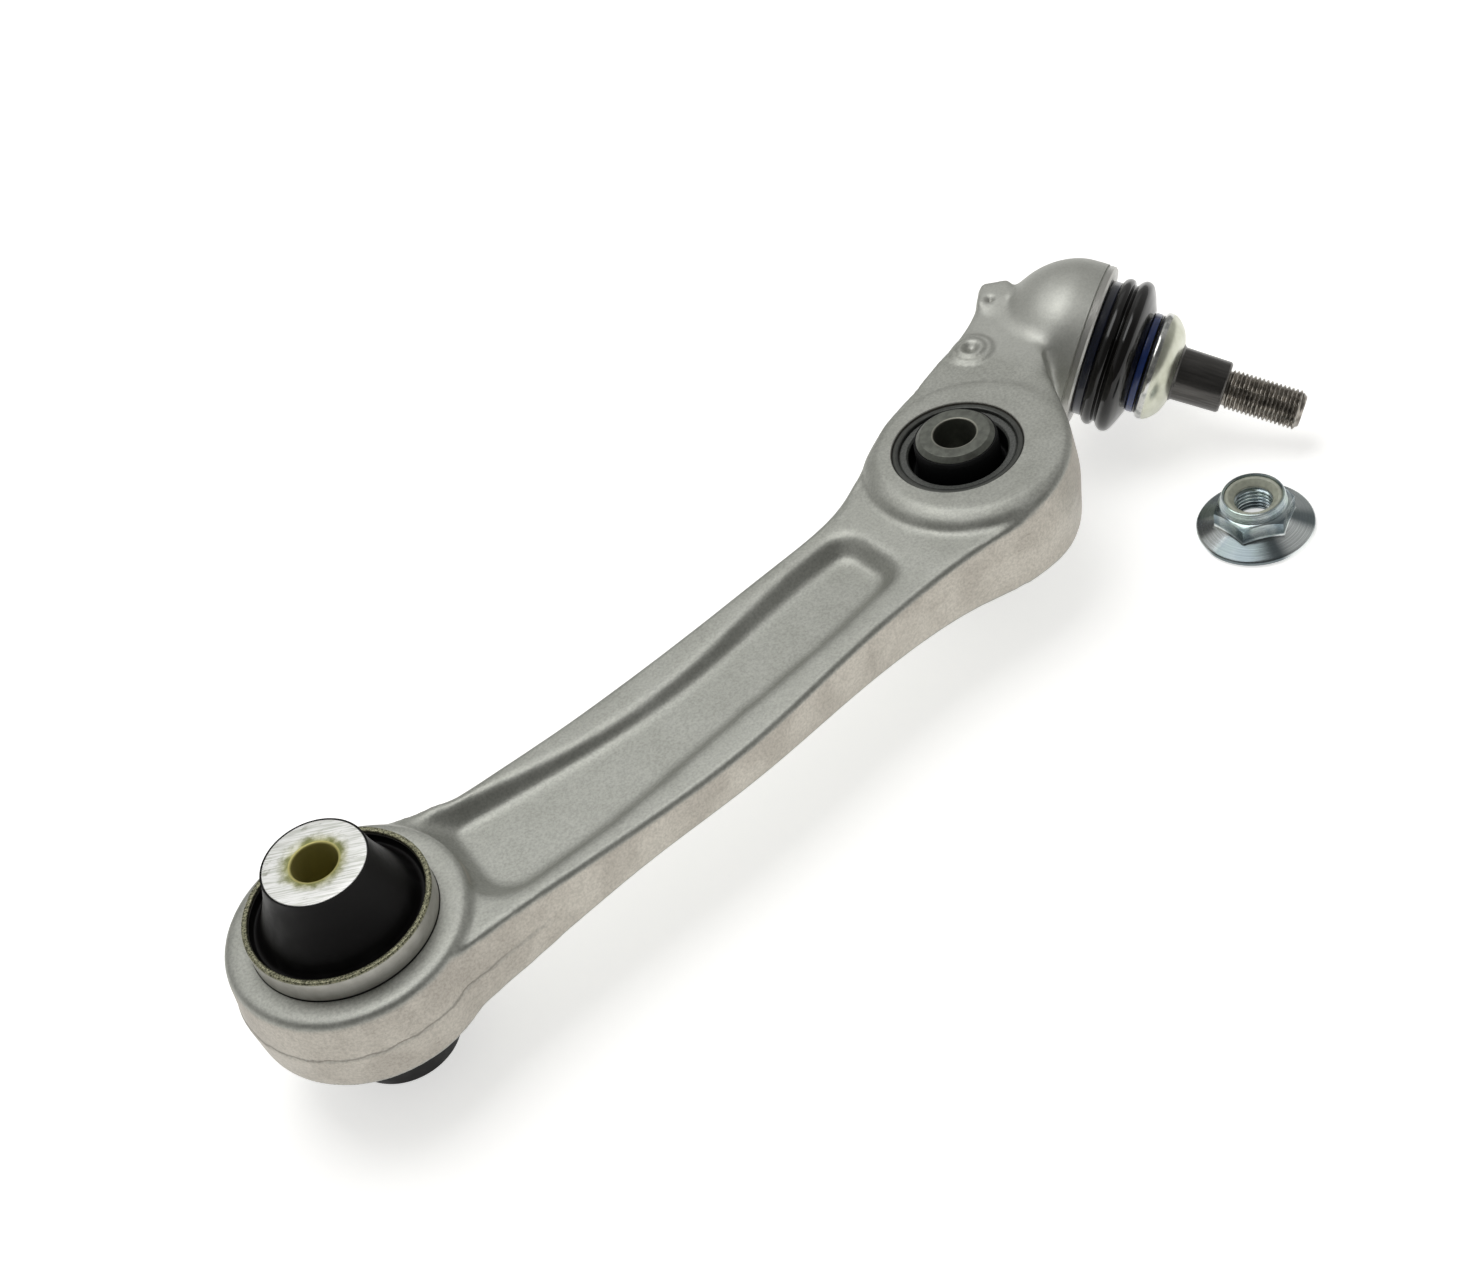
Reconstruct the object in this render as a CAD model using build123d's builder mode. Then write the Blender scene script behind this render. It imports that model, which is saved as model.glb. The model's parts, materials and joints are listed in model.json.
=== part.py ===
from build123d import *
import math
import os

# Front lower control arm: a forged aluminium arm with a rubber bush in each of its two
# eyes, a ball joint at its outer end, and the joint's flange nut lying beside it.
#
# Frame: millimetres. The origin is the centre of the chassis bush on the forging's
# parting plane, +X runs to the strut bush, and +Z is up along both bush axes.

os.makedirs("parts", exist_ok=True)

# ---- driving dimensions -------------------------------------------------------------
press_gap = 0.02            # between pieces that are pressed or clamped together
running_gap = 0.05          # radial, between pieces that turn on one another
bolt_bore_r = 7.1           # both inner sleeves take an M14 bolt

# forging
strut_x = 254.0             # distance between the two eyes
draft_angle = 5.0           # of the flanks, away from the parting plane
blank_half = 20.0           # the blank is this high before its top is shaped
edge_round = 2.5            # on the rims of the chassis eye
envelope_start = -5.0       # of the side view, inside the chassis eye
envelope_half = 100.0       # more than the arm's width
chassis_boss_r = 39.2
chassis_boss_half = 15.5
strut_boss_centre = (257.5, -3.0)   # the raised boss is a little off the bush's axis
strut_face_r = 31.4         # flat face of the boss
strut_face_height = 16.0
strut_shoulder_r = 35.9     # where the sloping shoulder of that face ends
strut_shoulder_height = 13.8
strut_foot_r = 37.5         # where the boss meets the arm
strut_foot_height = 10.5
strut_underside_r = 34.5
strut_underside = -17.8     # the eye is deeper below the parting plane than above it
pocket_floor = 4.2          # height of the pocket floors above the parting plane
pocket_wall_angle = 40.0    # of the pocket walls, from vertical
pocket_end_lean = 1.2       # of the wall at the chassis end, as a share of the others'
pocket_depth = 12.0         # more than reaches the arm's upper face
pocket_corner_r = 6.0       # at the pocket's floor
pocket_mouth_corner_r = 10.0
pocket_near_corner = 4.0    # added to the corner radius beside the chassis eye
pocket_far_corner_r = 4.0

# chassis bush
chassis_eye_r = 29.0
chassis_can_wall = 1.9
chassis_can_half = 23.9
chassis_sleeve_r = 15.8
chassis_sleeve_half = 43.0
chassis_skin_r = 16.4       # rubber skin at the sleeve's upper end
chassis_lower_skin_r = 18.5

# strut bush
strut_eye_r = 22.1
strut_can_wall = 2.4
strut_can_half = 15.4
strut_sleeve_r = 13.2
strut_sleeve_half = 21.9
strut_recess_floor = 5.0    # depth of the ring-shaped recess, from the parting plane

# ball joint, measured along its axis from the centre of the ball
ball_centre = Vector(327.9, 29.5, -1.2)
joint_turn = -61.8          # of the joint's axis in plan, from +X
joint_dip = 17.3            # of the joint's axis, below horizontal
ball_r = 14.0
seat_r = 16.8
seat_back = 16.8            # depth of the bearing shell behind the centre
seat_bevel = 7.0            # round the shell's back
seat_front = 9.5
housing_r = 29.0
housing_face = 14.1         # machined face round the spigot
housing_chamfer = 1.2
dome_start = 6.0            # where the housing's straight side turns into its domed back
dome_depth = 26.5
spigot_r = 21.0
spigot_end = 17.6
spigot_mouth_r = 15.0       # clears the stud's neck at full lean
ring_groove_large = 15.9    # middle of the boot's large clamp ring
ring_groove_large_half = 1.65
ring_groove_small = 32.95   # middle of the boot's small clamp ring
ring_groove_small_half = 1.3
boot_end = 34.8
neck_r = 7.5                # of the stud, between ball and collar
collar_r = 10.2             # of the stud, where the boot seals on it
shank_start = 45.4
shank_end = 62.4
shank_start_r = 9.45
shank_end_r = 9.1
stud_end = 90.0
thread_r = 7.0              # M14 x 1.5
thread_start = shank_end + 1.4
retainer_front = 12.6       # where the spigot's lip holds the retaining ring

# locating pads, raised on the neck between the strut eye and the ball housing
round_pad = (292.0, 32.0)
round_pad_r = 7.0
round_pad_top = 16.4
corner_pad = (314.6, 45.4)       # its dimple
corner_pad_outline = [(307.5, 46.5), (311.0, 40.0), (323.0, 40.0), (327.5, 47.5), (319.4, 54.9)]
corner_pad_round = 2.0
corner_pad_top = 17.0
pad_base = 8.0              # inside the neck
dimple_r = 2.2
dimple_depth = 1.2

# nut, lying on its flange
nut_centre = Vector(327.3, -59.5, 0)
floor_z = -43.0
nut_flange_r = 20.0
nut_across_flats = 24.0
nut_height = 14.6
nut_turn_angle = 25.0       # of the hexagon, about its axis
nut_bore_r = 6.2            # minor radius of M14 x 1.5
nut_flange_edge = 1.5       # thickness of the flange at its rim
nut_flange_height = 4.4     # where the flange's slope meets the hexagon
nut_collar_height = 3.6     # of the round collar that holds the insert
nut_hex_chamfer = 2.4       # height of the chamfer on the hexagon's corners
nut_mouth_chamfer = 1.2

# ---- places worked out from them ----------------------------------------------------
turn = math.radians(joint_turn)
dip = math.radians(joint_dip)
joint_axis = Vector(
    math.cos(turn) * math.cos(dip),
    math.sin(turn) * math.cos(dip),
    -math.sin(dip),
)
joint_side = Vector(-math.sin(turn), math.cos(turn), 0)
joint_line = Axis(ball_centre, joint_axis)
# Section through the joint: local X is the radius, local Y runs along the axis.
joint_section = Plane(origin=ball_centre, x_dir=joint_side, z_dir=joint_side.cross(joint_axis))
chassis_section = Plane.XZ
chassis_line = Axis.Z
strut_section = Plane(origin=(strut_x, 0, 0), x_dir=(1, 0, 0), z_dir=(0, -1, 0))
strut_line = Axis((strut_x, 0, 0), (0, 0, 1))
boss_section = Plane(origin=(*strut_boss_centre, 0), x_dir=(1, 0, 0), z_dir=(0, -1, 0))
boss_line = Axis((*strut_boss_centre, 0), (0, 0, 1))
nut_section = Plane(origin=nut_centre, x_dir=(1, 0, 0), z_dir=(0, -1, 0))
nut_line = Axis(nut_centre, (0, 0, 1))

# ---- the forging --------------------------------------------------------------------
# Near and far edges of the arm on the parting plane, from the chassis eye outwards.
near_edge = [
    (12, -36.5),
    (45, -36.4),
    (80, -37.4),
    (112, -39.0),
    (142, -38.6),
    (172, -36.2),
    (196, -35.4),
    (216, -36.0),
    (234, -38.4),
    (250, -40.6),
    (267, -37.6),
    (280.5, -28.6),
    (291.2, -14.2),
    (300.5, 1.5),
    (314, 17.0),
    (332, 24.0),
]
far_edge = [
    (334, 46.0),
    (326, 47.5),
    (319.5, 55.5),
    (311, 50.5),
    (298, 43.5),
    (280, 38.0),
    (256, 31.8),
    (238, 26.8),
    (222, 20.2),
    (206, 15.8),
    (180, 15.2),
    (150, 15.2),
    (116, 16.2),
    (80, 17.4),
    (52, 19.6),
    (28, 27.5),
]
# Side view of the arm: its upper and lower faces, along its length.
upper_face = [
    (20, 13.0),
    (40, 11.8),
    (66, 9.6),
    (98, 8.0),
    (130, 8.2),
    (165, 9.2),
    (190, 9.8),
    (206, 10.2),
    (218, 11.0),
    (228, 11.2),
    (246, 12.0),
    (266, 14.2),
    (284, 15.2),
    (345, 15.4),
]
lower_face = [
    (345, -15.2),
    (284, -15.2),
    (262, -16.6),
    (240, -16.6),
    (228, -15.0),
    (216, -13.2),
    (190, -11.0),
    (165, -9.3),
    (130, -8.2),
    (98, -8.0),
    (66, -9.6),
    (40, -11.8),
    (20, -13.0),
]

# What the blank's height is trimmed to: the side view of the arm, and the strut boss.
with BuildPart() as arm_envelope:
    with BuildSketch(Plane.XZ):
        with BuildLine():
            Spline(*upper_face)
            Line(upper_face[-1], lower_face[0])
            Spline(*lower_face)
            Polyline(
                lower_face[-1],
                (envelope_start, lower_face[-1][1]),
                (envelope_start, upper_face[0][1]),
                upper_face[0],
            )
        make_face()
    extrude(amount=envelope_half, both=True)
    with BuildSketch(boss_section):
        Polygon(
            (0, strut_underside),
            (strut_underside_r, strut_underside),
            (strut_foot_r, strut_underside + strut_foot_r - strut_underside_r),
            (strut_foot_r, strut_foot_height),
            (strut_shoulder_r, strut_shoulder_height),
            (strut_face_r, strut_face_height),
            (0, strut_face_height),
            align=None,
        )
    revolve(axis=boss_line)

# One pocket, from its floor upwards; its walls lean outwards.
pocket_far = [(45, 11.4), (72, 6.0), (102, 1.0), (134, -0.8), (166, 1.6), (203, 2.4)]
pocket_near = [(203, -17.5), (160, -22.2), (124, -23.5), (92, -25.1), (66, -24.9), (40, -21.5)]


def pocket_outline(height):
    """Corners of the pocket at a height above its floor: the two long edges."""
    lean = height * math.tan(math.radians(pocket_wall_angle))
    far = [(x, y + lean) for x, y in pocket_far]
    near = [(x, y - lean) for x, y in pocket_near]
    far[-1] = (far[-1][0] + lean, far[-1][1])
    near[0] = (near[0][0] + lean, near[0][1])
    far[0] = (far[0][0] - lean * pocket_end_lean, far[0][1])
    near[-1] = (near[-1][0] - lean * pocket_end_lean, near[-1][1])
    return far, near


with BuildPart() as pocket:
    for height, corner_r in ((0, pocket_corner_r), (pocket_depth, pocket_mouth_corner_r)):
        far, near = pocket_outline(height)
        with BuildSketch(Plane.XY.offset(pocket_floor + height)):
            with BuildLine():
                Spline(*far)
                Line(far[-1], near[0])
                Spline(*near)
                Line(near[-1], far[0])
            make_face()
            fillet(vertices().sort_by(Axis.X)[-2:], radius=corner_r)
            fillet(vertices().sort_by_distance(near[-1])[0], radius=corner_r + pocket_near_corner)
            fillet(vertices().sort_by_distance(far[0])[0], radius=pocket_far_corner_r)
    loft(ruled=True)
    mirror(about=Plane.XY)

with BuildPart() as arm_forging:
    with BuildSketch(Plane.XY):
        with BuildLine():
            Spline(*near_edge)
            Line(near_edge[-1], far_edge[0])
            Spline(*far_edge)
            Line(far_edge[-1], near_edge[0])
        make_face()
    extrude(amount=blank_half, both=True, taper=draft_angle)
    add(arm_envelope.part, mode=Mode.INTERSECT)
    add(pocket.part, mode=Mode.SUBTRACT)

    # chassis eye, with drafted sides and rounded rims
    top_r = chassis_boss_r - chassis_boss_half * math.tan(math.radians(draft_angle))
    with BuildSketch(chassis_section):
        Polygon(
            (0, -chassis_boss_half),
            (top_r, -chassis_boss_half),
            (chassis_boss_r, 0),
            (top_r, chassis_boss_half),
            (0, chassis_boss_half),
            align=None,
        )
        fillet(vertices().group_by(Axis.X)[-2], radius=edge_round)
    revolve(axis=chassis_line)

    # ball housing: a cup with a domed back and a turned spigot for the boot
    with BuildSketch(joint_section):
        with BuildLine():
            Polyline(
                (0, spigot_end),
                (spigot_r, spigot_end),
                (spigot_r, housing_face),
                (housing_r - housing_chamfer, housing_face),
                (housing_r, housing_face - housing_chamfer),
                (housing_r, dome_start),
            )
            EllipticalCenterArc((0, dome_start), housing_r, dome_depth, start_angle=0, arc_size=-90)
            Line((0, dome_start - dome_depth), (0, spigot_end))
        make_face()
    revolve(axis=joint_line)

    # raised locating pads on the neck: a round one with a dimple, and one at the corner
    with BuildSketch(Plane.XY.offset(pad_base)):
        with Locations(round_pad):
            Circle(round_pad_r)
    extrude(amount=round_pad_top - pad_base, taper=draft_angle)
    with BuildSketch(Plane.XY.offset(pad_base)):
        Polygon(*corner_pad_outline, align=None)
        fillet(vertices(), radius=corner_pad_round)
    extrude(amount=corner_pad_top - pad_base, taper=draft_angle)
    for pad, pad_top in ((round_pad, round_pad_top), (corner_pad, corner_pad_top)):
        with Locations((*pad, pad_top + dimple_r - dimple_depth)):
            Sphere(dimple_r, mode=Mode.SUBTRACT)

    # bores for the two bushes, with a chamfer at each mouth
    with Locations((0, 0, 0)):
        Cylinder(chassis_eye_r + press_gap, 2 * blank_half, mode=Mode.SUBTRACT)
    with Locations((strut_x, 0, 0)):
        Cylinder(strut_eye_r + press_gap, 2 * blank_half, mode=Mode.SUBTRACT)

    # cavity of the ball joint, open at the spigot
    with BuildSketch(joint_section):
        Polygon(
            (0, -seat_back - press_gap),
            (seat_r - seat_bevel, -seat_back - press_gap),
            (seat_r + press_gap, -seat_back + seat_bevel),
            (seat_r + press_gap, retainer_front),
            (spigot_mouth_r, retainer_front + 0.6),
            (spigot_mouth_r, spigot_end + 1),
            (0, spigot_end + 1),
            align=None,
        )
    revolve(axis=joint_line, mode=Mode.SUBTRACT)

arm_forging.part.label = "arm_forging"
export_step(arm_forging.part, "parts/arm_forging.step")

# ---- chassis bush -------------------------------------------------------------------
chassis_can_bore_r = chassis_eye_r - chassis_can_wall

with BuildPart() as chassis_bush_outer_sleeve:
    with BuildSketch(chassis_section):
        with Locations((chassis_eye_r - chassis_can_wall / 2, 0)):
            Rectangle(chassis_can_wall, 2 * chassis_can_half)
        fillet(vertices(), radius=0.6)
    revolve(axis=chassis_line)

chassis_bush_outer_sleeve.part.label = "chassis_bush_outer_sleeve"
export_step(chassis_bush_outer_sleeve.part, "parts/chassis_bush_outer_sleeve.step")

# Coned rubber between the can and the inner sleeve, with a groove inside each rim.
with BuildPart() as chassis_bush_rubber:
    inner_r = chassis_sleeve_r + running_gap
    outer_r = chassis_can_bore_r - press_gap
    skin_end = chassis_sleeve_half - 0.4
    groove_floor = chassis_can_half - 3.4
    with BuildSketch(chassis_section):
        with BuildLine():
            Spline((chassis_skin_r, skin_end), (18.2, 37.0), (21.2, 29.5), (24.6, groove_floor))
            Polyline(
                (24.6, groove_floor),
                (outer_r - 0.5, groove_floor + 0.3),
                (outer_r, groove_floor + 1.2),
                (outer_r, -groove_floor - 1.2),
                (outer_r - 0.5, -groove_floor - 0.3),
                (24.6, -groove_floor),
            )
            Spline(
                (24.6, -groove_floor),
                (22.0, -29.5),
                (19.8, -37.0),
                (chassis_lower_skin_r, -skin_end),
            )
            Polyline(
                (chassis_lower_skin_r, -skin_end),
                (inner_r, -skin_end),
                (inner_r, skin_end),
                (chassis_skin_r, skin_end),
            )
        make_face()
    revolve(axis=chassis_line)

chassis_bush_rubber.part.label = "chassis_bush_rubber"
export_step(chassis_bush_rubber.part, "parts/chassis_bush_rubber.step")

with BuildPart() as chassis_bush_inner_sleeve:
    Cylinder(chassis_sleeve_r, 2 * chassis_sleeve_half)
    Hole(bolt_bore_r)
    ends = faces().filter_by(GeomType.PLANE)
    chamfer(ends.edges().filter_by(lambda rim: rim.radius < bolt_bore_r + 1), length=0.8)
    chamfer(faces().filter_by(GeomType.PLANE).edges().sort_by(SortBy.RADIUS)[-2:], length=0.3)

chassis_bush_inner_sleeve.part.label = "chassis_bush_inner_sleeve"
export_step(chassis_bush_inner_sleeve.part, "parts/chassis_bush_inner_sleeve.step")

# ---- strut bush ---------------------------------------------------------------------
strut_can_bore_r = strut_eye_r - strut_can_wall

with BuildPart() as strut_bush_outer_sleeve:
    with BuildSketch(strut_section):
        with Locations((strut_eye_r - strut_can_wall / 2, 0)):
            Rectangle(strut_can_wall, 2 * strut_can_half)
        fillet(vertices(), radius=0.9)
    revolve(axis=strut_line)

strut_bush_outer_sleeve.part.label = "strut_bush_outer_sleeve"
export_step(strut_bush_outer_sleeve.part, "parts/strut_bush_outer_sleeve.step")

# Rubber with a deep ring-shaped recess round the inner sleeve, at both ends.
with BuildPart() as strut_bush_rubber:
    inner_r = strut_sleeve_r + running_gap
    outer_r = strut_can_bore_r - press_gap
    recess_inner_r = inner_r + 0.8
    recess_outer_r = outer_r - 3.2
    skin_top = strut_sleeve_half - 1.8
    lip_top = strut_can_half - 1.0
    with BuildSketch(strut_section):
        Polygon(
            (inner_r, 0),
            (inner_r, skin_top),
            (recess_inner_r - 0.4, skin_top),
            (recess_inner_r, strut_recess_floor + 1.5),
            ((recess_inner_r + recess_outer_r) / 2, strut_recess_floor),
            (recess_outer_r, strut_recess_floor + 1.5),
            (recess_outer_r + 0.3, lip_top - 0.4),
            (recess_outer_r + 0.8, lip_top),
            (outer_r, lip_top),
            (outer_r, 0),
            align=None,
        )
        mirror(about=Plane.XZ)
    revolve(axis=strut_line)

strut_bush_rubber.part.label = "strut_bush_rubber"
export_step(strut_bush_rubber.part, "parts/strut_bush_rubber.step")

with BuildPart() as strut_bush_inner_sleeve:
    with Locations((strut_x, 0, 0)):
        Cylinder(strut_sleeve_r, 2 * strut_sleeve_half)
        Hole(bolt_bore_r)
    ends = faces().filter_by(GeomType.PLANE)
    chamfer(ends.edges().filter_by(lambda rim: rim.radius < bolt_bore_r + 1), length=0.5)
    chamfer(faces().filter_by(GeomType.PLANE).edges().sort_by(SortBy.RADIUS)[-2:], length=1.6)

strut_bush_inner_sleeve.part.label = "strut_bush_inner_sleeve"
export_step(strut_bush_inner_sleeve.part, "parts/strut_bush_inner_sleeve.step")

# ---- ball joint ---------------------------------------------------------------------
# Bearing shell: a cup round the ball, its mouth flared to clear the stud's neck.
with BuildPart() as ball_seat:
    mouth_height = 7.5
    cup_r = ball_r + running_gap
    mouth_r = math.sqrt(cup_r**2 - mouth_height**2)
    with BuildSketch(joint_section):
        with BuildLine():
            ThreePointArc((0, -cup_r), (cup_r, 0), (mouth_r, mouth_height))
            Polyline(
                (mouth_r, mouth_height),
                (mouth_r + 0.8, seat_front),
                (seat_r, seat_front),
                (seat_r, -seat_back + seat_bevel),
                (seat_r - seat_bevel, -seat_back),
                (0, -seat_back),
                (0, -cup_r),
            )
        make_face()
    revolve(axis=joint_line)

ball_seat.part.label = "ball_seat"
export_step(ball_seat.part, "parts/ball_seat.step")

# Steel ring that the spigot's lip holds down on the shell.
with BuildPart() as ball_retaining_ring:
    with BuildSketch(joint_section):
        Polygon(
            (spigot_mouth_r - 1.8, seat_front + press_gap),
            (seat_r, seat_front + press_gap),
            (seat_r, retainer_front),
            (spigot_mouth_r - 1.0, retainer_front),
            align=None,
        )
    revolve(axis=joint_line)

ball_retaining_ring.part.label = "ball_retaining_ring"
export_step(ball_retaining_ring.part, "parts/ball_retaining_ring.step")

# Ball, waisted neck, sealing collar, lightly tapered shank and threaded end.
with BuildPart() as ball_stud:
    neck_start = math.sqrt(ball_r**2 - neck_r**2)
    undercut_r = thread_r - 1.1
    with BuildSketch(joint_section):
        with BuildLine():
            ThreePointArc((0, -ball_r), (ball_r, 0), (neck_r, neck_start))
            Polyline(
                (neck_r, neck_start),
                (neck_r, 22.0),
                (collar_r, 27.0),
                (collar_r, shank_start - 0.8),
                (shank_start_r, shank_start),
                (shank_end_r, shank_end - 0.5),
                (shank_end_r - 0.5, shank_end),
                (undercut_r, shank_end),
                (undercut_r, thread_start - 0.5),
                (thread_r, thread_start),
                (thread_r, stud_end - 1.3),
                (thread_r - 1.3, stud_end),
                (0, stud_end),
                (0, -ball_r),
            )
        make_face()
    revolve(axis=joint_line)

ball_stud.part.label = "ball_stud"
export_step(ball_stud.part, "parts/ball_stud.step")

# Bellows with two folds, its collars held by a ring at each end.
groove_large_r = 22.7
groove_small_r = 16.4
with BuildPart() as dust_boot:
    base_r = spigot_r + running_gap
    base_start = housing_face + 0.1
    neck_bore_r = collar_r + running_gap
    with BuildSketch(joint_section):
        with BuildLine():
            Polyline(
                (base_r, base_start),
                (groove_large_r, base_start),
                (groove_large_r, ring_groove_large + ring_groove_large_half),
                (24.8, ring_groove_large + ring_groove_large_half),
                (25.5, 18.3),
            )
            Spline((25.5, 18.3), (26.4, 20.3), (24.6, 22.6), (27.2, 25.7), (23.8, 29.2))
            Polyline(
                (23.8, 29.2),
                (18.4, ring_groove_small - ring_groove_small_half),
                (groove_small_r, ring_groove_small - ring_groove_small_half),
                (groove_small_r, ring_groove_small + ring_groove_small_half),
                (17.8, ring_groove_small + ring_groove_small_half),
                (17.8, boot_end),
                (neck_bore_r, boot_end),
                (neck_bore_r, 30.6),
                (16.4, 29.8),
            )
            Spline(
                (16.4, 29.8),
                (22.8, 27.8),
                (25.2, 25.6),
                (22.9, 22.6),
                (24.4, 20.3),
                (23.4, 18.8),
                (base_r, 17.6),
            )
            Line((base_r, 17.6), (base_r, base_start))
        make_face()
    revolve(axis=joint_line)

dust_boot.part.label = "dust_boot"
export_step(dust_boot.part, "parts/dust_boot.step")

clamp_ring_wall = 1.4
with BuildPart() as boot_clamp_ring_large:
    with BuildSketch(joint_section):
        with Locations((groove_large_r + running_gap + clamp_ring_wall / 2, ring_groove_large)):
            Rectangle(clamp_ring_wall, 2 * (ring_groove_large_half - running_gap))
        fillet(vertices(), radius=0.4)
    revolve(axis=joint_line)

boot_clamp_ring_large.part.label = "boot_clamp_ring_large"
export_step(boot_clamp_ring_large.part, "parts/boot_clamp_ring_large.step")

with BuildPart() as boot_clamp_ring_small:
    with BuildSketch(joint_section):
        with Locations((groove_small_r + running_gap + clamp_ring_wall / 2, ring_groove_small)):
            Rectangle(clamp_ring_wall, 2 * (ring_groove_small_half - running_gap))
        fillet(vertices(), radius=0.4)
    revolve(axis=joint_line)

boot_clamp_ring_small.part.label = "boot_clamp_ring_small"
export_step(boot_clamp_ring_small.part, "parts/boot_clamp_ring_small.step")

# Pressed cup on the stud, open towards the boot.
with BuildPart() as stud_guard_cup:
    bore_r = collar_r + press_gap
    outside = [(18.2, 35.1), (19.3, 37.4), (17.9, 40.1), (14.9, 42.9), (bore_r, 44.6)]
    inside = [(16.9, 35.1), (18.0, 37.4), (16.9, 39.4), (14.2, 41.8), (bore_r, 43.3)]
    with BuildSketch(joint_section):
        with BuildLine():
            Spline(*outside)
            Line(outside[-1], inside[-1])
            Spline(*inside)
            Line(inside[0], outside[0])
        make_face()
    revolve(axis=joint_line)

stud_guard_cup.part.label = "stud_guard_cup"
export_step(stud_guard_cup.part, "parts/stud_guard_cup.step")

# ---- flange nut ---------------------------------------------------------------------
nut_collar_r = 11.3
nut_insert_r = 9.8
nut_insert_depth = 2.6
nut_hex_top = nut_height - nut_collar_height
nut_foot_r = nut_across_flats / 2 + 0.6
nut_corner_r = nut_across_flats / math.sqrt(3)
insert_top = floor_z + nut_height - 0.5
insert_seat = insert_top - nut_insert_depth - 0.3

with BuildPart() as flange_nut:
    # hexagon with rounded-off corners, on a sloping flange and under a round collar
    with BuildSketch(Plane.XY.offset(floor_z + 1.0)):
        with Locations((nut_centre.X, nut_centre.Y)):
            RegularPolygon(nut_corner_r, 6, rotation=nut_turn_angle)
    extrude(amount=nut_height)
    with BuildSketch(nut_section):
        Polygon(
            (0, floor_z),
            (nut_corner_r + 1, floor_z),
            (nut_corner_r + 1, floor_z + nut_hex_top - nut_hex_chamfer),
            (nut_across_flats / 2 - 0.5, floor_z + nut_hex_top),
            (nut_collar_r, floor_z + nut_hex_top),
            (nut_collar_r - 0.6, floor_z + nut_height),
            (0, floor_z + nut_height),
            align=None,
        )
    revolve(axis=nut_line, mode=Mode.INTERSECT)
    with BuildSketch(nut_section):
        Polygon(
            (0, floor_z),
            (nut_flange_r - 0.4, floor_z),
            (nut_flange_r, floor_z + 0.4),
            (nut_flange_r, floor_z + nut_flange_edge),
            (nut_foot_r, floor_z + nut_flange_height),
            (0, floor_z + nut_flange_height),
            align=None,
        )
    revolve(axis=nut_line)
    # bore, countersunk below, and the seat of the locking insert above
    with BuildSketch(nut_section):
        Polygon(
            (0, floor_z),
            (nut_bore_r + nut_mouth_chamfer, floor_z),
            (nut_bore_r, floor_z + nut_mouth_chamfer),
            (nut_bore_r, insert_seat),
            (nut_insert_r, insert_seat),
            (nut_insert_r, floor_z + nut_height),
            (0, floor_z + nut_height),
            align=None,
        )
    revolve(axis=nut_line, mode=Mode.SUBTRACT)

flange_nut.part.label = "flange_nut"
export_step(flange_nut.part, "parts/flange_nut.step")

with BuildPart() as nut_locking_insert:
    with BuildSketch(nut_section):
        Polygon(
            (nut_bore_r + 0.3, insert_top - nut_insert_depth),
            (nut_insert_r - press_gap, insert_top - nut_insert_depth),
            (nut_insert_r - press_gap, insert_top - 0.5),
            (nut_insert_r - 0.5, insert_top),
            (nut_bore_r + 1.2, insert_top),
            (nut_bore_r + 0.3, insert_top - 0.9),
            align=None,
        )
    revolve(axis=nut_line)

nut_locking_insert.part.label = "nut_locking_insert"
export_step(nut_locking_insert.part, "parts/nut_locking_insert.step")
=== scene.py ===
import json
import math

import bmesh
import bpy
import numpy as np
from mathutils import Matrix, Vector


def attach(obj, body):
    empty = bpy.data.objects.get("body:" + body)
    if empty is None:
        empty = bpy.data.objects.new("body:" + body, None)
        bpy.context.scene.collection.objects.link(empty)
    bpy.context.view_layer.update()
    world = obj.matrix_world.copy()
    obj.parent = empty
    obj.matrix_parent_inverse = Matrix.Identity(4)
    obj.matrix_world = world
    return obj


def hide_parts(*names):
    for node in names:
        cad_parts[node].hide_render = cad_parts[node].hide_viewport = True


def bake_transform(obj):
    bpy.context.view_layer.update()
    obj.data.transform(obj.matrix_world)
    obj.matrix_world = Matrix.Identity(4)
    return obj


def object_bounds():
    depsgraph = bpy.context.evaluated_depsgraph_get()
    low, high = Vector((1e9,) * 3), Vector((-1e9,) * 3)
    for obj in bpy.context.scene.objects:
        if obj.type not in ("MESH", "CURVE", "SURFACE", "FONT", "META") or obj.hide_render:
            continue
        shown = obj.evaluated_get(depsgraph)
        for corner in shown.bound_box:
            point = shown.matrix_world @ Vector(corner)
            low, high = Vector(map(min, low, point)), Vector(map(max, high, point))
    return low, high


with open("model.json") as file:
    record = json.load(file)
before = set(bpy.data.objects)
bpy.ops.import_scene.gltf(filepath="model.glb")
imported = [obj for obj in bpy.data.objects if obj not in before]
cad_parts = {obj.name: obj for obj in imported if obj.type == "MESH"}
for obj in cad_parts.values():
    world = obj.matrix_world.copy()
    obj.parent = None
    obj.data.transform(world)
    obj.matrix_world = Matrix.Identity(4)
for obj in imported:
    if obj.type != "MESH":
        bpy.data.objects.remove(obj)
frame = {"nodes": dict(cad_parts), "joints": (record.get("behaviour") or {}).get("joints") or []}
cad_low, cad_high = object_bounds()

# A forged aluminium control arm. Every shape is written in millimetres, in the frame of
# the CAD bodies, and becomes metres when its mesh is made.

MM = 0.001
FULL_TURN = 2 * math.pi
WELD = 1e-7
joints = {j["name"]: j for j in frame["joints"]}


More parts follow.
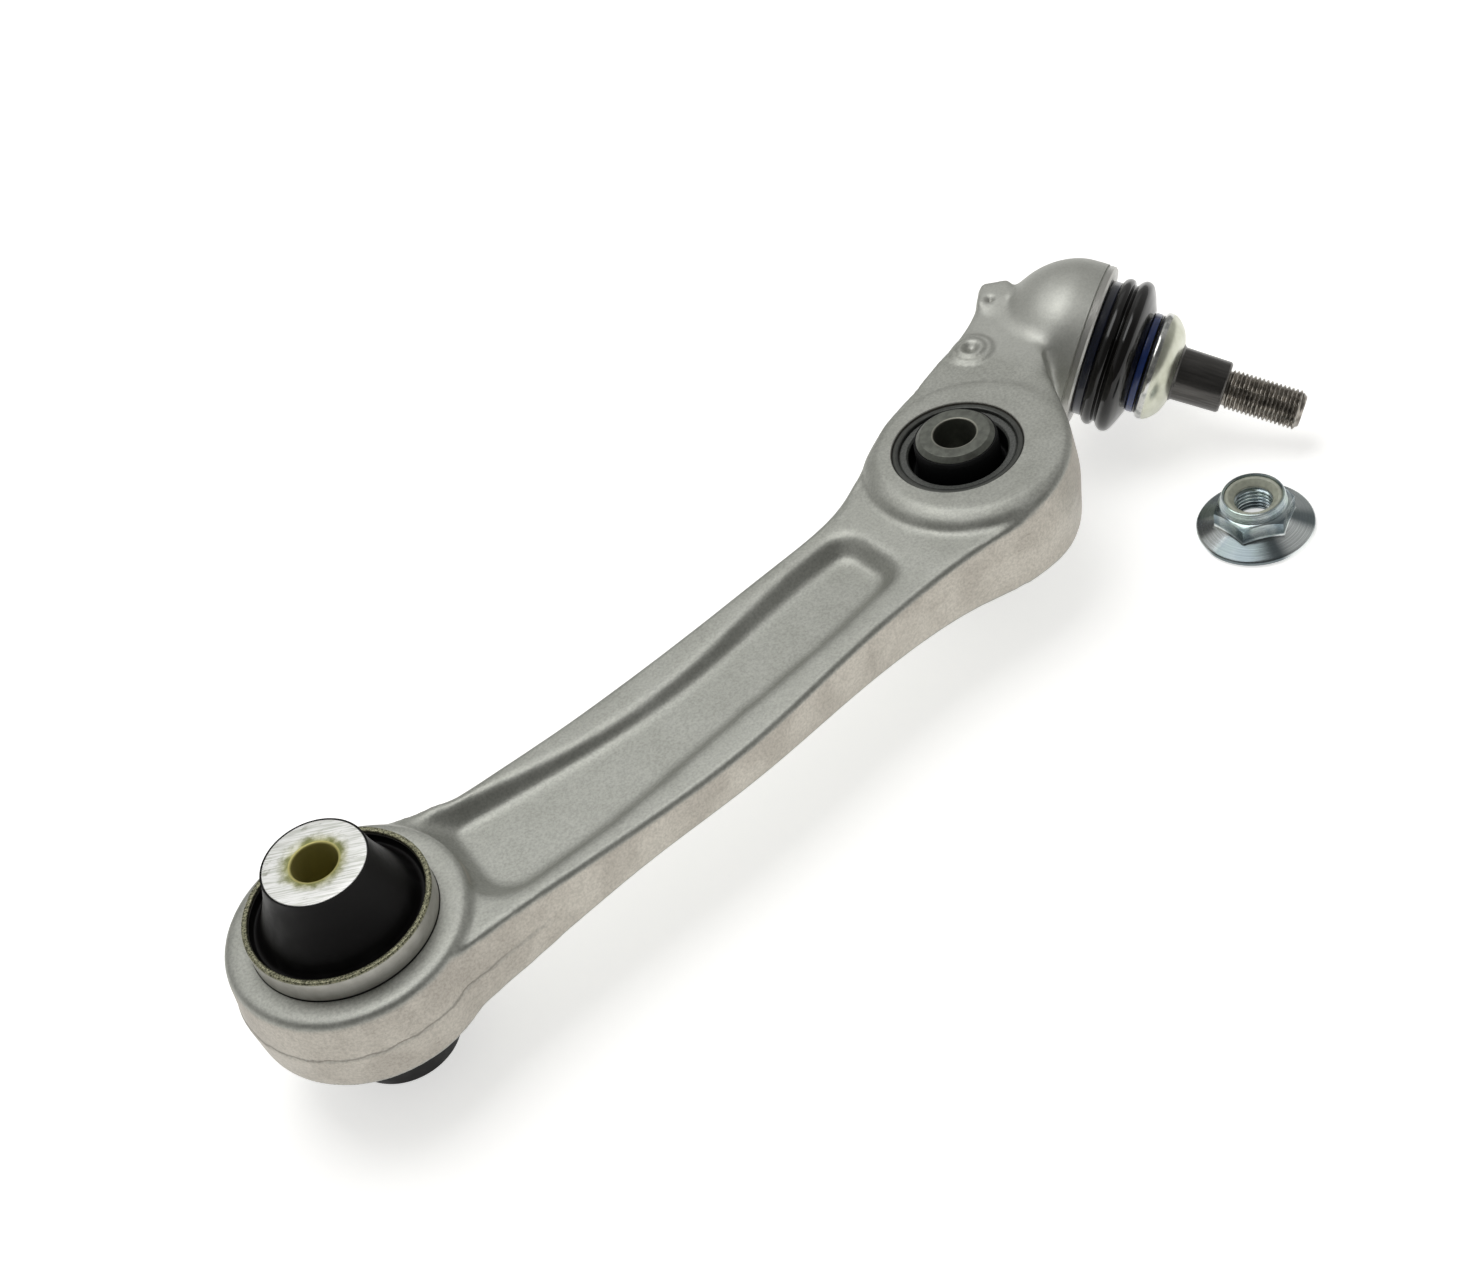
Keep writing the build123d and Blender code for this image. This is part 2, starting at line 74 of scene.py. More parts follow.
# ---- places, from the frame -------------------------------------------------------------
def along(origin, axis):
    """Matrix of a frame at origin, in millimetres, whose Z runs along axis."""
    z = Vector(axis).normalized()
    x = Vector((0, 0, 1)) if abs(z.z) < 0.9 else Vector((1, 0, 0))
    x = (x - z * x.dot(z)).normalized()
    turn = Matrix((x, z.cross(x), z)).transposed().to_4x4()
    return Matrix.Translation(Vector(origin) / MM) @ turn


def joint_place(name):
    return along(joints[name]["pos_m"], joints[name]["axis"])


def mesh_points(mesh):
    """Corners of a mesh, in millimetres."""
    flat = np.zeros(len(mesh.vertices) * 3)
    mesh.vertices.foreach_get("co", flat)
    return flat.reshape(-1, 3) / MM


def local(points, place):
    """Points of the frame as seen from a place."""
    back = np.array(place.inverted())
    return points @ back[:3, :3].T + back[:3, 3]


def reach(node, place):
    """Least and greatest radius and height of a node, about a place's Z."""
    p = local(mesh_points(frame["nodes"][node].data), place)
    r = np.hypot(p[:, 0], p[:, 1])
    return r.min(), r.max(), p[:, 2].min(), p[:, 2].max()


CHASSIS = joint_place("chassis_bush_twist")
STRUT = joint_place("strut_bush_twist")
BALL = joint_place("stud_spin")
NUT = joint_place("nut_turn")

# places on the arm
STRUT_EYE = (257.5, -3.0)
ROUND_PAD = (292.0, 32.0)
CORNER_DIMPLE = (314.6, 45.4)
NECK_CORNER = (319.0, 51.0)
CHASSIS_EYE_HALF = 15.5
STRUT_EYE_TOP = 16.0
STRUT_EYE_DEPTH = 17.8
ARM_MIDDLE_Y = -10
BODY_START = 44
BODY_END = 232
FLANK_TONE_END = (296, 286)
SEAM_END = (45, 15)
CAN_RIM = (22.7, 23.4)
THREAD_START = 63.0
NUT_FLANGE_TOP = (5.6, 4.8)


# ---- mesh tools -------------------------------------------------------------------------
def rounded(corners, radius, steps=5, closed=True):
    """A section's corners (radius, height), each one turned into a short arc."""
    pts = [Vector(c[:2]) for c in corners]
    sizes = [c[2] if len(c) > 2 else radius for c in corners]
    out = []
    for i, (p, size) in enumerate(zip(pts, sizes)):
        if size == 0 or (not closed and i in (0, len(pts) - 1)):
            out.append(p)
            continue
        a, b = pts[i - 1] - p, pts[(i + 1) % len(pts)] - p
        half = a.angle(b) / 2
        cut = min(size / math.tan(half), 0.49 * a.length, 0.49 * b.length)
        start, end = p + a.normalized() * cut, p + b.normalized() * cut
        for k in range(steps + 1):
            t = k / steps
            out.append(start * (1 - t) ** 2 + p * 2 * t * (1 - t) + end * t**2)
    return [(v.x, v.y) for v in out]


def curve_through(points, steps=8):
    """A smooth line through points, by Catmull-Rom."""
    p = np.array([points[0], *points, points[-1]], float)
    out = []
    for i in range(1, len(p) - 2):
        for k in range(steps):
            t = k / steps
            a, b, c, d = p[i - 1], p[i], p[i + 1], p[i + 2]
            q = 2 * b + (c - a) * t + (2 * a - 5 * b + 4 * c - d) * t**2
            out.append((q + (3 * b - a - 3 * c + d) * t**3) / 2)
    out.append(p[-2])
    return [tuple(v) for v in out]


def add_object(name, vertices, faces, sharp_angle=math.radians(35)):
    """A mesh object from millimetre points, welded and smooth-shaded up to an angle."""
    mesh = bpy.data.meshes.new(name)
    mesh.from_pydata([tuple(v) for v in np.asarray(vertices) * MM], [], faces)
    obj = bpy.data.objects.new(name, mesh)
    bpy.context.scene.collection.objects.link(obj)
    tidy_mesh(mesh, sharp_angle)
    return obj


def tidy_mesh(mesh, sharp_angle):
    """Welds a mesh, turns its faces outwards and shades it smooth up to an angle."""
    bm = bmesh.new()
    bm.from_mesh(mesh)
    bmesh.ops.remove_doubles(bm, verts=bm.verts, dist=WELD)
    bmesh.ops.dissolve_degenerate(bm, edges=bm.edges, dist=WELD)
    bmesh.ops.recalc_face_normals(bm, faces=bm.faces)
    bm.to_mesh(mesh)
    bm.free()
    mesh.shade_smooth()
    mesh.set_sharp_from_angle(angle=sharp_angle)


def skin(name, grid, place, closed=True):
    """A mesh over a grid of points, rows by columns, wrapped round by its columns."""
    grid = np.asarray(grid, float)
    rows, columns = grid.shape[:2]
    faces = []
    for i in range(rows if closed else rows - 1):
        below, above = i * columns, (i + 1) % rows * columns
        for j in range(columns):
            k = (j + 1) % columns
            faces.append((below + j, below + k, above + k, above + j))
    m = np.array(place)
    return add_object(name, grid.reshape(-1, 3) @ m[:3, :3].T + m[:3, 3], faces)


def turned(name, section, place, segments=192, wobble=None, closed=True):
    """A lathe piece from its section (radius, height). wobble(angle, radius, height) moves it."""
    angles = np.arange(segments) / segments * FULL_TURN
    rows = []
    for r, h in section:
        radius = np.full(segments, r, float)
        height = np.full(segments, h, float)
        if wobble is not None:
            radius, height = wobble(angles, radius, height)
        rows.append(np.stack([radius * np.cos(angles), radius * np.sin(angles), height], 1))
    return skin(name, rows, place, closed)


def smooth_step(x):
    """0 up to x = 0, 1 from x = 1, and a smooth slope between them."""
    x = np.clip(x, 0, 1)
    return x * x * (3 - 2 * x)


# ---- material tools ---------------------------------------------------------------------
class Finish:
    """One procedural material, built a node at a time."""

    def __init__(self, name):
        self.material = bpy.data.materials.new(name)
        self.material.use_nodes = True
        self.tree = self.material.node_tree
        self.shader = self.tree.nodes["Principled BSDF"]
        self.coordinates = self.node("ShaderNodeTexCoord").outputs["Object"]

    def node(self, kind, **settings):
        node = self.tree.nodes.new(kind)
        for key, value in settings.items():
            setattr(node, key, value)
        return node

    def feed(self, socket, value):
        if isinstance(value, bpy.types.NodeSocket):
            self.tree.links.new(value, socket)
        elif isinstance(value, (tuple, list)) and len(value) == 3 and socket.type == "RGBA":
            socket.default_value = (*value, 1)
        else:
            socket.default_value = value

    def math(self, operation, a, b=0.0):
        node = self.node("ShaderNodeMath", operation=operation)
        self.feed(node.inputs[0], a)
        self.feed(node.inputs[1], b)
        return node.outputs[0]

    def times(self, first, *others):
        for value in others:
            first = self.math("MULTIPLY", first, value)
        return first

    def fit(self, value, low, high, out_low=0.0, out_high=1.0):
        """value brought from one range to another, and held inside it."""
        node = self.node("ShaderNodeMapRange", interpolation_type="SMOOTHSTEP")
        for socket, v in zip(node.inputs, (value, low, high, out_low, out_high)):
            self.feed(socket, v)
        return node.outputs[0]

    def placed(self, place=None, stretch=(1, 1, 1)):
        """Coordinates in a place's frame, in millimetres, then stretched."""
        if place is None:
            place = Matrix.Identity(4)
        back = place.inverted()
        turn = self.node("ShaderNodeMapping")
        turn.inputs["Scale"].default_value = (1 / MM, 1 / MM, 1 / MM)
        turn.inputs["Rotation"].default_value = back.to_euler()
        turn.inputs["Location"].default_value = back.to_translation()
        self.feed(turn.inputs["Vector"], self.coordinates)
        scale = self.node("ShaderNodeMapping")
        scale.inputs["Scale"].default_value = stretch
        self.feed(scale.inputs["Vector"], turn.outputs[0])
        return scale.outputs[0]

    def axes(self, vector):
        node = self.node("ShaderNodeSeparateXYZ")
        self.feed(node.inputs[0], vector)
        return node.outputs

    def radius(self, vector):
        x, y, _ = self.axes(vector)
        return self.math("SQRT", self.math("ADD", self.times(x, x), self.times(y, y)))

    def noise(self, vector, size, detail=4.0, rough=0.55):
        """Noise whose features are about size millimetres across."""
        node = self.node("ShaderNodeTexNoise")
        self.feed(node.inputs["Vector"], vector)
        node.inputs["Scale"].default_value = 1 / size
        node.inputs["Detail"].default_value = detail
        node.inputs["Roughness"].default_value = rough
        return node.outputs[0]

    def mix(self, share, a, b, blend="MIX"):
        node = self.node("ShaderNodeMix", data_type="RGBA", blend_type=blend)
        self.feed(node.inputs["Factor"], share)
        self.feed(node.inputs[6], a)
        self.feed(node.inputs[7], b)
        return node.outputs[2]

    def grey(self, value):
        node = self.node("ShaderNodeCombineColor")
        for socket in node.inputs[:3]:
            self.feed(socket, value)
        return node.outputs[0]

    def bump(self, height, depth, strength=1.0, after=None):
        """Surface relief: height 0..1 stands for depth millimetres."""
        node = self.node("ShaderNodeBump")
        self.feed(node.inputs["Strength"], strength)
        node.inputs["Distance"].default_value = depth * MM
        self.feed(node.inputs["Height"], height)
        if after is not None:
            self.feed(node.inputs["Normal"], after)
        return node.outputs[0]

    def done(self, **sockets):
        """The material, with the shader's sockets fed by name."""
        for name, value in sockets.items():
            label = name.replace("_", " ").title().replace("Ior", "IOR")
            self.feed(self.shader.inputs[label], value)
        return self.material


def paint(obj, material):
    obj.data.materials.clear()
    obj.data.materials.append(material)


def settle(obj, material, body, node):
    """Gives a piece its finish in a material slot and its body, and hides the CAD node it stands in
    for.
    """
    paint(obj, material)
    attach(obj, body)
    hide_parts(node)


# ---- materials --------------------------------------------------------------------------
def forged_aluminium():
    """Blasted forging skin: fine grain, faint blotches, scuffs on its flanks, and a painted reflection
    of the floor that makes the flanks lighter and warmer.
    """
    f = Finish("forged_aluminium")
    where = f.placed()
    x, _, z = f.axes(where)
    grain = f.noise(where, 0.9, detail=5, rough=0.7)
    blotch = f.noise(where, 14.0, detail=5)
    normal_z = f.axes(f.node("ShaderNodeNewGeometry").outputs["Normal"])[2]
    side = f.fit(f.math("ABSOLUTE", normal_z), 0.45, 0.12)
    flank = f.times(side, f.fit(x, *FLANK_TONE_END))
    chassis_end = f.fit(x, *SEAM_END)
    colour = f.mix(f.fit(blotch, 0.3, 0.7), (0.385, 0.39, 0.355), (0.44, 0.445, 0.41))
    # painted reflection of the floor: the flanks lighter and warmer, a little dimmer toward the
    # chassis end
    floor_reflection = f.mix(f.fit(blotch, 0.35, 0.65), (0.53, 0.50, 0.445), (0.47, 0.44, 0.39))
    floor_reflection = f.mix(f.fit(x, *SEAM_END, 0, 0.16), floor_reflection, (0.30, 0.27, 0.24))
    colour = f.mix(flank, colour, floor_reflection)
    speck = f.fit(grain, 0.32, 0.66, 0.84, 1.10)
    colour = f.mix(1.0, colour, f.grey(speck), "MULTIPLY")
    scuffs = f.noise(f.placed(stretch=(0.35, 0.35, 1.6)), 3.2, detail=6, rough=0.7)
    scuff = f.times(f.fit(scuffs, 0.60, 0.70), flank)
    colour = f.mix(f.times(scuff, 0.35), colour, (0.28, 0.26, 0.23))
    # the seam where the dies met, wandering a little, on the chassis end only
    height = f.math("ADD", z, f.fit(f.noise(where, 9.0), 0.3, 0.7, -0.5, 0.5))
    seam = f.fit(f.math("ABSOLUTE", f.math("SUBTRACT", height, 0.3)), 0.42, 0.10)
    colour = f.mix(f.times(seam, flank, chassis_end, 0.65), colour, (0.16, 0.145, 0.125))
    rough = f.fit(blotch, 0.3, 0.7, 0.47, 0.54)
    # the housing: paler skin, and a turned rim
    ball = f.placed(BALL)
    radius, height = f.radius(ball), f.axes(ball)[2]
    span = f.math("ADD", f.math("POWER", radius, 2.0), f.math("POWER", height, 2.0))
    paler = f.fit(f.math("SQRT", span), 44.0, 33.0, 0, 0.4)
    colour = f.mix(paler, colour, (0.58, 0.585, 0.55))
    rim = f.times(f.fit(height, 11.3, 11.6), f.fit(radius, 19.0, 20.0), f.fit(radius, 31.0, 30.0))
    colour = f.mix(rim, colour, (0.46, 0.455, 0.43))
    rough = f.math("SUBTRACT", rough, f.times(rim, 0.16))
    relief = f.bump(grain, 0.07, 0.9)
    relief = f.bump(f.noise(where, 3.0, detail=3), 0.08, 0.5, relief)
    return f.done(base_color=colour, metallic=0.88, roughness=rough, normal=relief)


def milled_sleeve():
    """Aluminium sleeve: milling streaks across its end, an oily olive stain in its bore."""
    f = Finish("sleeve_aluminium")
    where = f.placed(CHASSIS)
    radius = f.radius(where)
    across_end = CHASSIS @ Matrix.Rotation(-0.62, 4, "Z")
    streaks = f.noise(f.placed(across_end, (0.06, 1.0, 1.0)), 0.55)
    blotch = f.noise(where, 3.5, detail=5)
    colour = f.mix(f.fit(streaks, 0.36, 0.60), (0.66, 0.67, 0.62), (0.95, 0.95, 0.93))
    oily = f.noise(f.placed(CHASSIS, (0.5, 1, 1)), 5.0, detail=6, rough=0.7)
    colour = f.mix(f.fit(oily, 0.56, 0.72, 0, 0.7), colour, (0.22, 0.22, 0.14))
    stain = f.math("ADD", radius, f.times(f.math("SUBTRACT", blotch, 0.5), 7.0))
    stained = f.mix(f.fit(blotch, 0.35, 0.65), (0.20, 0.21, 0.07), (0.45, 0.44, 0.20))
    colour = f.mix(f.fit(stain, 12.0, 7.6), colour, stained)
    colour = f.mix(f.fit(radius, 8.1, 7.7), colour, (0.46, 0.42, 0.15))
    relief = f.bump(streaks, 0.06, 0.6)
    return f.done(base_color=colour, metallic=0.45, roughness=0.42, normal=relief)


def can_steel():
    """Bare steel can: drawn sides, and a cut rim gone yellowish."""
    f = Finish("can_steel")
    where = f.placed(CHASSIS)
    height = f.math("ABSOLUTE", f.axes(where)[2])
    cloud = f.noise(where, 4.0, detail=5)
    colour = f.mix(f.fit(cloud, 0.3, 0.7), (0.46, 0.45, 0.41), (0.55, 0.54, 0.50))
    speck = f.noise(where, 0.6, detail=6, rough=0.8)
    rim = f.mix(f.fit(speck, 0.40, 0.62), (0.035, 0.036, 0.022), (0.40, 0.39, 0.26))
    colour = f.mix(f.fit(height, *CAN_RIM), colour, rim)
    # painted shade in the corner between can and eye
    corner_shade = f.fit(height, CHASSIS_EYE_HALF + 0.7, CHASSIS_EYE_HALF + 0.2)
    colour = f.mix(corner_shade, colour, (0.02, 0.02, 0.018))
    relief = f.bump(speck, 0.10, f.fit(height, *CAN_RIM, 0.15, 0.9))
    return f.done(base_color=colour, metallic=0.85, roughness=0.42, normal=relief)


def satin_rubber(name, tone, roughness, grain_size=0.5, dust=0.02, shine=0.2):
    """Moulded rubber with a fine skin and a trace of dust."""
    f = Finish(name)
    where = f.placed()
    cloud = f.noise(where, 6.0, detail=5)
    fine = f.noise(where, grain_size, detail=4)
    colour = f.mix(f.fit(cloud, 0.45, 0.75), tone, tuple(c + dust for c in tone))
    rough = f.fit(cloud, 0.3, 0.7, roughness - 0.06, roughness + 0.08)
    relief = f.bump(fine, 0.03, 0.5)
    return f.done(base_color=colour, roughness=rough, normal=relief, specular_ior_level=shine)


def lipped_rubber():
    """The strut bush's rubber: black in its recess, and a painted grey sheen on its lip's top face."""
    f = Finish("strut_bush_rubber")
    where = f.placed(STRUT)
    fine = f.noise(where, 0.6, detail=5)
    height = f.math("ABSOLUTE", f.axes(where)[2])
    lip = f.times(f.fit(height, 13.0, 13.9), f.fit(f.radius(where), 16.4, 16.9))
    # painted sheen: the lip's top face a lighter grey than the black rubber
    lip_sheen = f.mix(f.fit(fine, 0.35, 0.65), (0.055, 0.058, 0.054), (0.105, 0.11, 0.10))
    colour = f.mix(lip, (0.006, 0.006, 0.0065), lip_sheen)
    relief = f.bump(fine, 0.04, 0.6)
    shine = f.fit(lip, 0, 1, 0.12, 0.5)
    return f.done(base_color=colour, roughness=0.4, normal=relief, specular_ior_level=shine)


def coated_steel(name, tone, edge, place, edge_radius):
    """Dark coated steel, lighter on a thin ring at one radius."""
    f = Finish(name)
    where = f.placed(place)
    cloud = f.noise(where, 2.5, detail=5)
    speck = f.noise(where, 0.35, detail=3)
    colour = f.mix(f.fit(cloud, 0.3, 0.7), tone, tuple(1.5 * c for c in tone))
    off = f.math("ABSOLUTE", f.math("SUBTRACT", f.radius(where), edge_radius))
    colour = f.mix(f.fit(off, 0.45, 0.15), colour, edge)
    relief = f.bump(speck, 0.03, 0.6)
    return f.done(base_color=colour, metallic=0.75, roughness=0.42, normal=relief)


def ring_steel():
    """The retaining ring's steel: pale with cloudy patches."""
    f = Finish("ring_steel")
    where = f.placed()
    cloud = f.noise(where, 3.0, detail=6)
    fine = f.noise(where, 0.5, detail=3)
    colour = f.mix(f.fit(cloud, 0.35, 0.66), (0.3, 0.3, 0.28), (0.5, 0.5, 0.48))
    rough = f.fit(cloud, 0.3, 0.7, 0.38, 0.26)
    relief = f.bump(fine, 0.02, 0.6)
    return f.done(base_color=colour, metallic=0.92, roughness=rough, normal=relief)


def cup_zinc():
    """Cream zinc plate on the cup's cone, silver and mirror-like on its rim."""
    f = Finish("cream_zinc")
    where = f.placed(BALL)
    height = f.axes(where)[2]
    cloud = f.noise(where, 5.0, detail=4)
    cream = f.mix(f.fit(cloud, 0.3, 0.7), (0.56, 0.57, 0.46), (0.68, 0.69, 0.585))
    band = f.fit(height, 38.2, 37.4)
    silver = f.mix(f.fit(cloud, 0.45, 0.6), (0.60, 0.60, 0.58), (0.36, 0.37, 0.36))
    colour = f.mix(band, cream, silver)
    rough = f.math("SUBTRACT", 0.30, f.times(band, 0.16))
    relief = f.bump(f.noise(where, 0.6, detail=3), 0.02, 0.5)
    return f.done(base_color=colour, metallic=0.9, roughness=rough, normal=relief)


# painted highlights on the nut's flange, as bright fans: direction in degrees, and strength
NUT_PAINTED_FANS = ((150, 1.0), (-85, 1.0), (-17, 0.45))


def painted_flange_fans(f, radius):
    """Strength of the painted highlight fans at a point, by its direction from the nut's axis."""
    x, y, _ = f.axes(f.placed(Matrix.Translation(NUT.to_translation())))
    fans = 0.0
    for degrees, share in NUT_PAINTED_FANS:
        turn = math.radians(degrees)
        toward = f.math("ADD", f.times(x, math.cos(turn)), f.times(y, math.sin(turn)))
        fan = f.fit(f.math("DIVIDE", toward, radius), 0.87, 0.99, 0, share)
        fans = f.math("ADD", fans, fan)
    return fans


def turned_zinc():
    """Bluish zinc plate over turned steel: fine rings round the axis, tints that come and go, painted
    highlight fans on the flange and painted shade on the hexagon.
    """
    f = Finish("blue_zinc")
    where = f.placed(NUT)
    radius = f.radius(where)
    height = f.axes(where)[2]
    ring_place = f.node("ShaderNodeCombineXYZ")
    f.feed(ring_place.inputs[0], radius)
    f.feed(ring_place.inputs[2], height)
    rings = f.noise(ring_place.outputs[0], 0.42, detail=4, rough=0.7)
    cloud = f.noise(where, 5.0, detail=5)
    tint = f.noise(f.placed(NUT, (1, 1, 2)), 7.0, detail=2)
    colour = f.mix(f.fit(cloud, 0.35, 0.65), (0.36, 0.43, 0.46), (0.56, 0.62, 0.62))
    colour = f.mix(f.fit(tint, 0.45, 0.65, 0, 0.6), colour, (0.40, 0.50, 0.43))
    colour = f.mix(f.fit(rings, 0.40, 0.55, 0.35, 0), colour, (0.16, 0.20, 0.22))
    # the flange: painted highlight fans between painted darker shade
    shade = f.mix(painted_flange_fans(f, radius), (0.13, 0.155, 0.165), (0.92, 0.96, 0.96))
    shade = f.mix(f.fit(rings, 0.40, 0.60, 0.3, 0), shade, (0.05, 0.06, 0.07))
    flange = f.fit(height, *NUT_FLANGE_TOP)
    colour = f.mix(f.times(flange, 0.85), colour, shade)
    # the hexagon: painted shade, darker and bluer on its faces
    hexagon = f.times(f.fit(height, *reversed(NUT_FLANGE_TOP)), f.fit(height, 11.6, 10.8))
    hexagon = f.times(hexagon, f.fit(radius, 12.4, 13.0))
    colour = f.mix(f.times(hexagon, 0.6), colour, (0.12, 0.17, 0.20))
    relief = f.bump(rings, 0.02, 0.5)
    tangent = f.node("ShaderNodeTangent", direction_type="RADIAL", axis="Z").outputs[0]
    f.done(anisotropic=0.8, anisotropic_rotation=0.25, tangent=tangent)
    return f.done(base_color=colour, metallic=0.95, roughness=0.22, normal=relief)


def stud_steel():
    """Dark steel drawn lengthways, browner on its thread."""
    f = Finish("phosphated_steel")
    streaks = f.noise(f.placed(BALL, (1.0, 1.0, 0.06)), 0.7, detail=5, rough=0.65)
    where = f.placed(BALL)
    cloud = f.noise(where, 3.0, detail=5)
    along_axis = f.axes(where)[2]
    dark = f.mix(f.fit(streaks, 0.25, 0.75), (0.055, 0.053, 0.050), (0.115, 0.11, 0.105))
    brown = f.mix(f.fit(cloud, 0.35, 0.65), (0.17, 0.155, 0.135), (0.42, 0.39, 0.35))
    colour = f.mix(f.fit(along_axis, THREAD_START - 1, THREAD_START), dark, brown)
    relief = f.bump(streaks, 0.03, 0.4)
    return f.done(base_color=colour, metallic=0.88, roughness=0.27, normal=relief)


def plastic(name, tone, roughness):
    """Moulded plastic with a thin gloss."""
    f = Finish(name)
    where = f.placed()
    cloud = f.noise(where, 2.0, detail=4)
    colour = f.mix(f.fit(cloud, 0.3, 0.7), tuple(0.75 * c for c in tone), tone)
    relief = f.bump(f.noise(where, 0.4), 0.02, 0.5)
    return f.done(base_color=colour, roughness=roughness, normal=relief, coat_weight=0.3)


# ---- the forging ------------------------------------------------------------------------
VOXEL = 0.8
PLUG_OVERLAP = 3
DRAFT = math.tan(math.radians(5))
CORNER_R = 2.0
PAD_SEAT = 15.0
NECK_TOP = 15.7
SPIGOT_BORE_R = 15.0
HOUSING_LIP_R = 21.0
HOUSING_RIM_R = 29.0
HOUSING_FACE = 14.1
BORE_CHAMFER = 0.25
BORE_GAP = 0.02
OUTSIDE = 60


def remeshed(source, name, extra):
    """A copy of a CAD node, joined with extra closed meshes, as an even mesh of squares."""
    mesh = bpy.data.meshes.new(name)
    vertices, faces = [], []
    for obj in (source, *extra):
        start = len(vertices)
        vertices += [tuple(v.co) for v in obj.data.vertices]
        faces += [tuple(start + i for i in p.vertices) for p in obj.data.polygons]
    mesh.from_pydata(vertices, [], faces)
    obj = bpy.data.objects.new(name, mesh)
    bpy.context.scene.collection.objects.link(obj)
    tidy_mesh(mesh, math.pi)
    remesh = obj.modifiers.new("even", "REMESH")
    remesh.mode = "VOXEL"
    remesh.voxel_size = VOXEL * MM
    bake(obj)
    return obj


def bake(obj):
    """Modifiers applied to the mesh."""
    ready = obj.evaluated_get(bpy.context.evaluated_depsgraph_get())
    mesh = bpy.data.meshes.new_from_object(ready)
    obj.modifiers.clear()
    obj.data = mesh


def cut_away(obj, tool):
    """Cuts a tool's shape out of an object, and removes the tool."""
    cut = obj.modifiers.new("cut", "BOOLEAN")
    cut.operation = "DIFFERENCE"
    cut.solver = "MANIFOLD"
    cut.object = tool
    bake(obj)
    bpy.data.objects.remove(tool)


def relax(points, edges, weight, rounds):
    """Moves each point towards the mean of its neighbours, rounds times."""
    count = np.bincount(edges.ravel(), minlength=len(points))[:, None]
    a, b = edges.T
    for _ in range(rounds):
        total = np.empty_like(points)
        for k in range(3):
            total[:, k] = np.bincount(a, points[b, k], len(points))
            total[:, k] += np.bincount(b, points[a, k], len(points))
        points += weight[:, None] * (total / count - points) * 0.5
    return points


def smooth_curve(x, y):
    return np.polynomial.Chebyshev.fit(x, y, 9)


def fair_flanks(points):
    """The arm's long flanks and their corners, brought onto smooth curves along the arm."""
    x, y, z = points.T
    share_along = smooth_step((x - BODY_START) / 10) * smooth_step((BODY_END - x) / 12)
    body = (x > BODY_START - 4) & (x < BODY_END + 4)
    moves = np.zeros_like(points)
    for side in (-1, 1):
        out = side * (y - ARM_MIDDLE_Y)
        near = body & (np.abs(z) < 5) & (out > 20)
        flank = smooth_curve(x[near], (out + np.abs(z) * DRAFT)[near])
        for up in (-1, 1):
            height = up * z
            inside = flank(x) - out
            near = body & (height > 7) & (inside > 3.0) & (inside < 4.5)
            face = smooth_curve(x[near], height[near])
            # how far each point is off the round corner between flank and face
            across = out - flank(x) + height * DRAFT + CORNER_R
            above = height - face(x) + CORNER_R
            corner = np.hypot(np.maximum(across, 0), np.maximum(above, 0))
            off = corner - CORNER_R
            share = share_along * (height > 0) * (np.abs(off) < 1.6)
            share = share * smooth_step((4.5 - inside) / 2) * (corner > 0) * off
            corner = np.maximum(corner, 1e-6)
            moves[:, 1] -= side * share * np.maximum(across, 0) / corner
            moves[:, 2] -= up * share * np.maximum(above, 0) / corner
    return points + moves


def distance(points, place):
    """Distance of each point from a place, seen from above."""
    return np.hypot(points[:, 0] - place[0], points[:, 1] - place[1])


def plugged_forging(bore_a, bore_b):
    """The CAD forging, remeshed, with its bores filled: they are cut again at the end."""
    half, top, depth = CHASSIS_EYE_HALF, STRUT_EYE_TOP, STRUT_EYE_DEPTH
    plugs = []
    for radius, low, high, place in (
        (bore_a + PLUG_OVERLAP, -half, half, CHASSIS),
        (bore_b + PLUG_OVERLAP, -depth, top, STRUT),
        (HOUSING_RIM_R, 0, 16.5, BALL),
    ):
        section = [(0, low), (radius, low), (radius, high), (0, high)]
        plugs.append(turned("plug", section, place, 96))
    arm = remeshed(frame["nodes"]["arm_forging"], "arm_forging_skin", plugs)
    for plug in plugs:
        bpy.data.objects.remove(plug)
    return arm


def smoothed(points, edges, round_pad, corner):
    """The forging's points, rounded: most on the housing, least at the neck's cornered pad."""
    seen = local(points, BALL)
    away = np.linalg.norm(seen, axis=1)
    housing = smooth_step((50 - away) / 8) * smooth_step((8 - seen[:, 2]) / 8)
    housing *= smooth_step((away - 20) / 6)
    # the round pad is levelled here, and raised again with its steps
    above = (round_pad < 11) & (points[:, 2] > 12)
    points[above, 2] = np.minimum(points[above, 2], PAD_SEAT)
    housing *= smooth_step((corner - 8) / 6)
    points = relax(points, edges, housing, 80)
    x = points[:, 0]
    body = smooth_step((x - (BODY_START + 2)) / 10) * smooth_step((BODY_END - x) / 14)
    points = relax(points, edges, body, 8)
    points = relax(points, edges, 0.35 + 0.65 * smooth_step((corner - 7) / 6), 14)
    return fair_flanks(points)


def raise_neck(points, round_pad):
    """Brings the neck's top up almost level with the strut eye's face."""
    x, y, z = points.T
    neck = smooth_step((z - 12.0) / 1.5) * smooth_step((distance(points, STRUT_EYE) - 31) / 2)
    neck *= smooth_step((round_pad - 2) / 2) * smooth_step((y - 0.35 * (300 - x)) / 10)
    neck *= smooth_step((x - 235) / 15) * smooth_step((312 - x) / 8)
    points[:, 2] += neck * np.maximum(0, NECK_TOP - z) * 0.8


